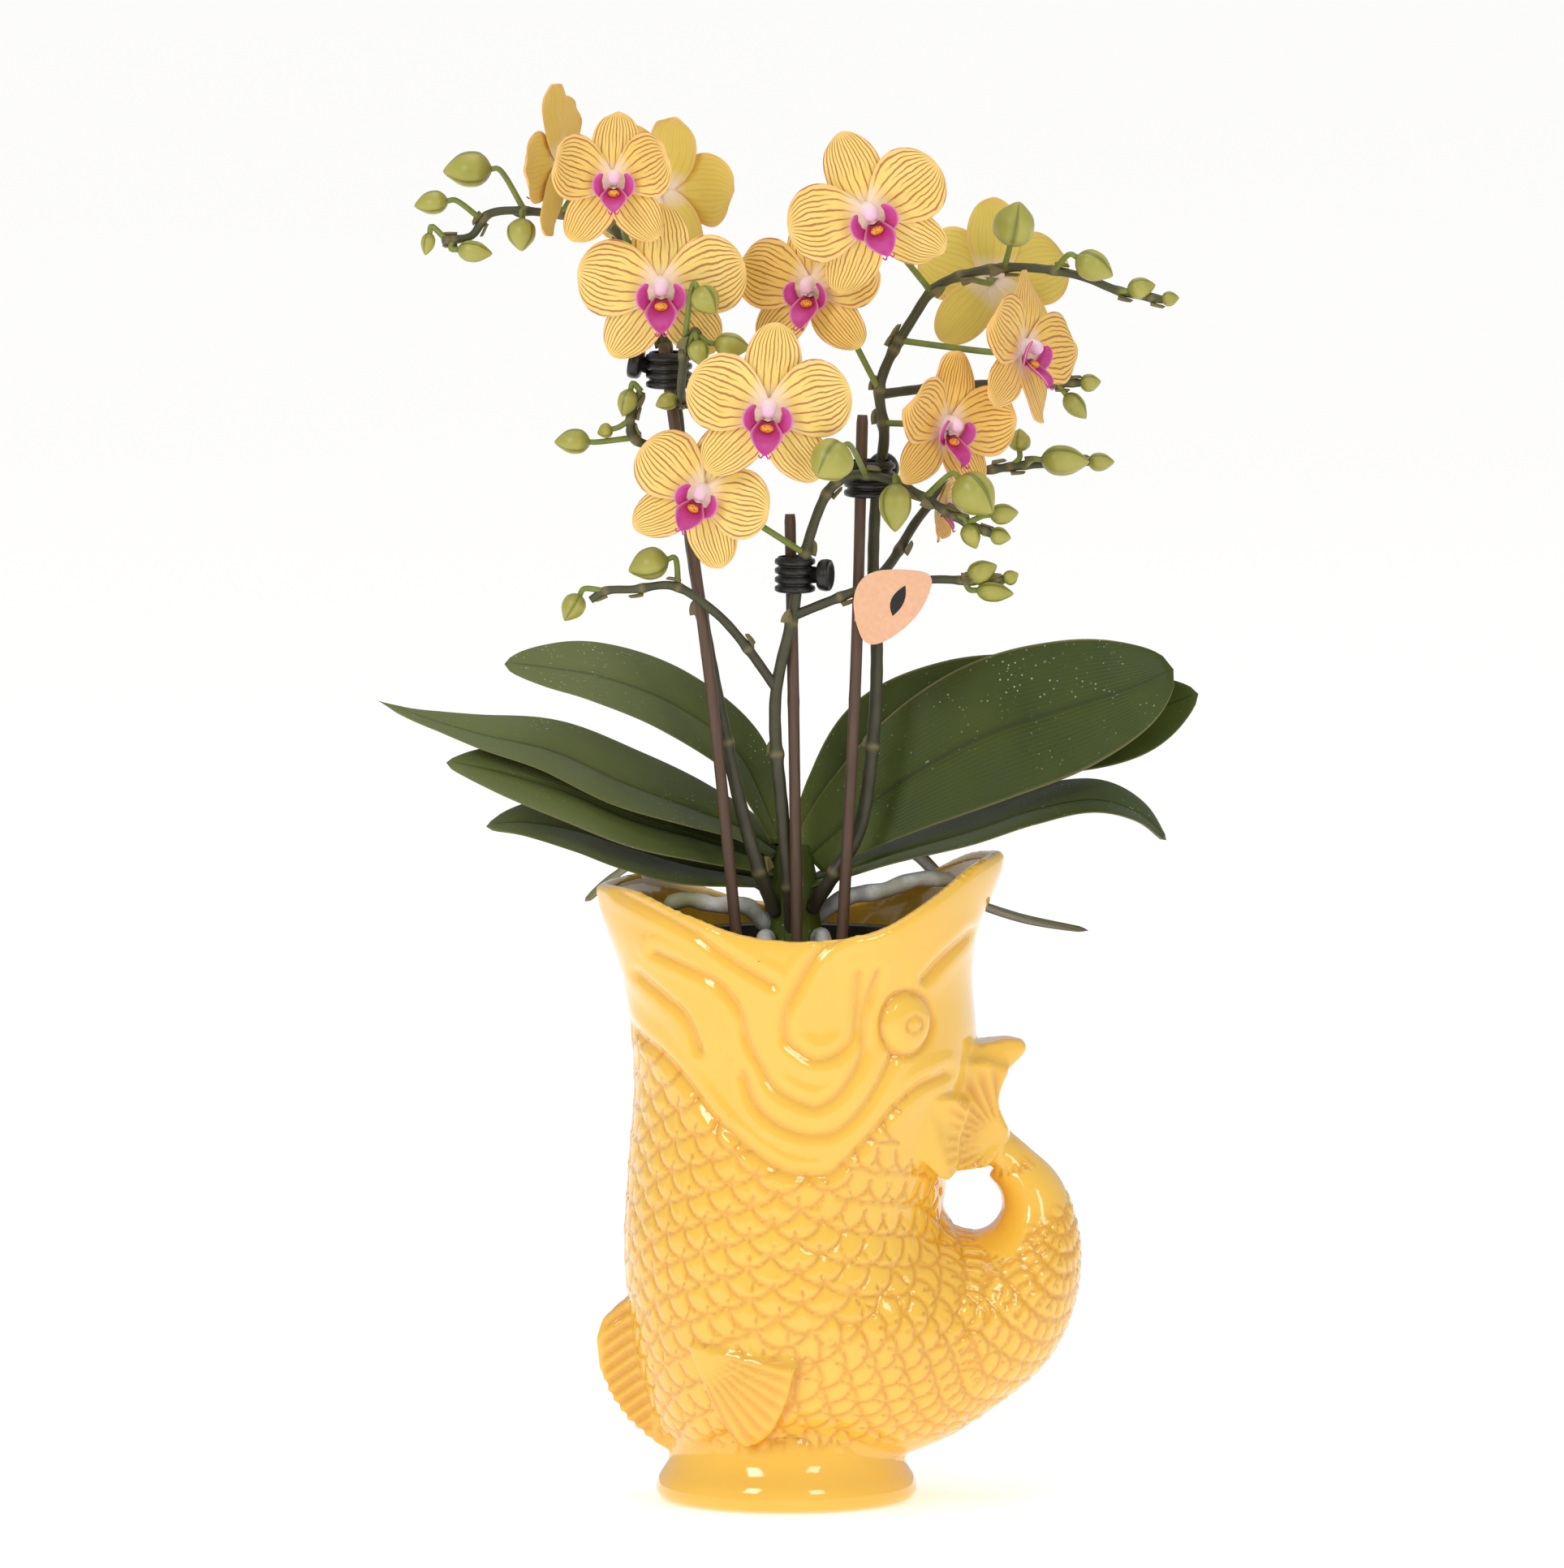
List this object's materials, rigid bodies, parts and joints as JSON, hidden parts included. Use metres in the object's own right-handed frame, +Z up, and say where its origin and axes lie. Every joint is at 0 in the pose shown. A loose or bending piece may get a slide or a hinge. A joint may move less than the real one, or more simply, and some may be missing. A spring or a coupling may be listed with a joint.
{
  "type": "potted orchid",
  "caption": "Small moth orchid with striped yellow flowers on staked spikes, in a nursery pot inside a yellow ceramic pot shaped as a standing carp whose tail is the handle.",
  "frame": {"origin": "middle of the flat underside of the ceramic pot's foot", "axes": "+Z up the plant, +X towards the tail handle, -Y the front, where most flowers face; y = 0 is the carp's middle plane"},
  "size_m": [0.2277, 0.1147, 0.394],
  "materials": {
    "glazed_ceramic": "glossy warm yellow glaze over white earthenware",
    "nursery_plastic": "thin black moulded plastic",
    "bark": "damp pine bark chips",
    "leaf": "waxy dark green leaf",
    "root": "silver grey aerial root",
    "stem": "dark green brown flower spike",
    "stick": "brown stained bamboo",
    "clip": "black moulded plastic",
    "card": "plain kraft card",
    "petal": "yellow petals with fine red brown stripes and a magenta lip",
    "bud": "yellow green bud"
  },
  "bodies": {
    "root": {"fish_pot": "glazed_ceramic", "nursery_pot": "nursery_plastic", "bark_mix": "bark", "crown": "leaf", "leaf_left_top": "leaf", "leaf_left_upper": "leaf", "leaf_left_middle": "leaf", "leaf_left_lower": "leaf", "leaf_left_small": "leaf", "leaf_right_back": "leaf", "leaf_right_top": "leaf", "leaf_right_lower": "leaf", "leaf_right_small": "leaf", "root_left": "root", "root_right": "root", "root_short_left": "root", "root_short_right": "root", "spike_left": "stem", "spike_middle": "stem", "spike_right": "stem", "branch_left_side": "stem", "branch_left_front": "stem", "branch_middle_left": "stem", "branch_middle_right": "stem", "branch_right_low": "stem", "branch_right_high": "stem", "stick_left": "stick", "stick_middle": "stick", "stick_right": "stick", "clip_left": "clip", "clip_middle": "clip", "clip_right": "clip", "tag_card": "card", "flower_1": "petal", "flower_2": "petal", "flower_3": "petal", "flower_4": "petal", "flower_5": "petal", "flower_6": "petal", "flower_7": "petal", "flower_8": "petal", "flower_9": "petal", "flower_10": "petal", "flower_11": "petal", "flower_12": "petal", "bud_left_1": "bud", "bud_left_2": "bud", "bud_left_3": "bud", "bud_left_4": "bud", "bud_front_1": "bud", "bud_front_2": "bud", "bud_side_1": "bud", "bud_middle_1": "bud", "bud_middle_2": "bud", "bud_middle_3": "bud", "bud_low_left_1": "bud", "bud_low_left_2": "bud", "bud_right_1": "bud", "bud_right_2": "bud", "bud_right_3": "bud"}
  },
  "joints": []
}
